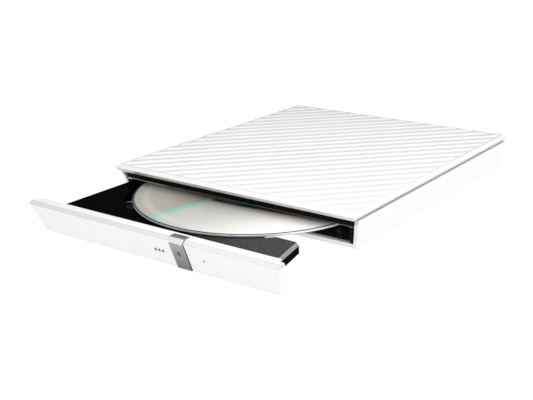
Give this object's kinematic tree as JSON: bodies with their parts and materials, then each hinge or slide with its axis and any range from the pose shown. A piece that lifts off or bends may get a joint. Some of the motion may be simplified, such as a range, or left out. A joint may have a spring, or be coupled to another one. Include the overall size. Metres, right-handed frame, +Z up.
{
  "type": "external optical drive",
  "caption": "Slim external optical disc drive with a ribbed cover, shown with its tray part-way open and a disc on the spindle; the tray, rails, spindle, pickup and eject button move.",
  "frame": {"origin": "on the desk under the middle of the object's box, with the tray part-way open", "axes": "+Z up; the tray opens towards -Y, so +Y points to the back of the drive; +X is to the right seen from the front"},
  "size_m": [0.142, 0.2092, 0.02],
  "materials": {
    "shell_white": "glossy white injection moulding",
    "frame_black": "fine matt black moulding",
    "tray_plastic": "fine spark-eroded texture, dark grey to black",
    "sheet_steel": "plain zinc plated sheet",
    "machined_steel": "turned and ground",
    "strip_metal": "brushed, grain across the strip",
    "rubber_foot": "matt",
    "circuit_board": "green solder mask",
    "chip_black": "moulded package",
    "disc_mirror": "mirror-like data side layer under clear polycarbonate",
    "clear_plastic": "clear moulding",
    "screw_brass": "turned"
  },
  "bodies": {
    "case": {"top_cover": "shell_white", "bottom_shell": "shell_white", "foot_front_left": "rubber_foot", "foot_front_right": "rubber_foot", "foot_rear_left": "rubber_foot", "foot_rear_right": "rubber_foot", "case_screw_left": "machined_steel", "case_screw_right": "machined_steel", "rail_guide_left": "frame_black", "rail_guide_right": "frame_black", "front_frame": "frame_black", "drive_base_pan": "sheet_steel", "drive_top_plate": "sheet_steel", "latch_stud": "machined_steel", "ejector_housing": "frame_black", "ejector_spring": "machined_steel", "main_board": "circuit_board", "controller_chip": "chip_black", "motor_driver_chip": "chip_black", "drive_connector": "frame_black", "bridge_board": "circuit_board", "board_connector": "frame_black", "bridge_chip": "chip_black", "usb_socket": "sheet_steel"},
    "slide_rails": {"slide_rail_left": "machined_steel", "slide_rail_right": "machined_steel"},
    "tray": {"tray_plate": "tray_plastic", "front_bezel": "shell_white", "light_guide": "clear_plastic", "switch_board": "circuit_board", "eject_switch": "frame_black", "status_lamp": "clear_plastic", "tray_under_cover": "sheet_steel", "traverse_chassis": "sheet_steel", "damper_1": "rubber_foot", "damper_2": "rubber_foot", "damper_3": "rubber_foot", "spindle_motor": "sheet_steel", "guide_rod_front": "machined_steel", "guide_rod_rear": "machined_steel", "sled_motor": "sheet_steel", "latch_solenoid": "sheet_steel", "latch_pivot_pin": "machined_steel"},
    "eject_button": {"eject_strip": "strip_metal"},
    "spindle": {"turntable": "frame_black", "rubber_ring": "rubber_foot", "clamp_hub": "frame_black", "optical_disc": "disc_mirror"},
    "hub_claw_1": {"hub_claw_1": "frame_black"},
    "hub_claw_2": {"hub_claw_2": "frame_black"},
    "hub_claw_3": {"hub_claw_3": "frame_black"},
    "sled": {"pickup_sled": "frame_black"},
    "lens": {"lens_holder": "frame_black", "objective_lens": "clear_plastic"},
    "lead_screw": {"lead_screw": "screw_brass"},
    "latch": {"latch_lever": "frame_black"},
    "ejector": {"ejector_pin": "machined_steel"}
  },
  "joints": [
    {"name": "tray_slide", "type": "slide", "parent": "case", "child": "tray", "axis": [0, -1, 0], "range_m": [-0.0515, 0.0765]},
    {"name": "rail_slide", "type": "slide", "parent": "case", "child": "slide_rails", "axis": [0, -1, 0], "range_m": [-0.02575, 0.03825]},
    {"name": "ejector_push", "type": "slide", "parent": "case", "child": "ejector", "axis": [0, 1, 0], "range_m": [0, 0.008], "stiffness_N_per_m": 120, "springref_m": -0.004, "deforming": ["ejector_spring"]},
    {"name": "eject_press", "type": "hinge", "parent": "tray", "child": "eject_button", "pos_m": [0.0187, -0.10004, 0.0156], "axis": [1, 0, 0], "range_deg": [0, 2.6], "stiffness_Nm_per_rad": 0.4},
    {"name": "spindle_spin", "type": "hinge", "parent": "tray", "child": "spindle", "pos_m": [0, -0.02554, 0.009], "axis": [0, 0, 1], "continuous": true},
    {"name": "sled_slide", "type": "slide", "parent": "tray", "child": "sled", "axis": [-0.7071, -0.7071, 0], "range_m": [0, 0.032]},
    {"name": "lead_screw_spin", "type": "hinge", "parent": "tray", "child": "lead_screw", "pos_m": [-0.00283, -0.04251, 0.006], "axis": [-0.7071, -0.7071, 0], "continuous": true},
    {"name": "lens_focus", "type": "slide", "parent": "sled", "child": "lens", "axis": [0, 0, 1], "range_m": [-0.0004, 0.0004], "stiffness_N_per_m": 150},
    {"name": "latch_swing", "type": "hinge", "parent": "tray", "child": "latch", "pos_m": [0.0405, -0.09094, 0.0067], "axis": [0, 0, 1], "range_deg": [0, 8]},
    {"name": "claw_1_press", "type": "slide", "parent": "spindle", "child": "hub_claw_1", "axis": [0, -1, 0], "range_m": [0, 0.0006], "stiffness_N_per_m": 200},
    {"name": "claw_2_press", "type": "slide", "parent": "spindle", "child": "hub_claw_2", "axis": [0.866, 0.5, 0], "range_m": [0, 0.0006], "stiffness_N_per_m": 200},
    {"name": "claw_3_press", "type": "slide", "parent": "spindle", "child": "hub_claw_3", "axis": [-0.866, 0.5, 0], "range_m": [0, 0.0006], "stiffness_N_per_m": 200}
  ],
  "couplings": [
    {"joint": "rail_slide", "follows": "tray_slide", "ratio": 0.5},
    {"joint": "lead_screw_spin", "follows": "sled_slide", "rad_per_m": 2094.4}
  ]
}
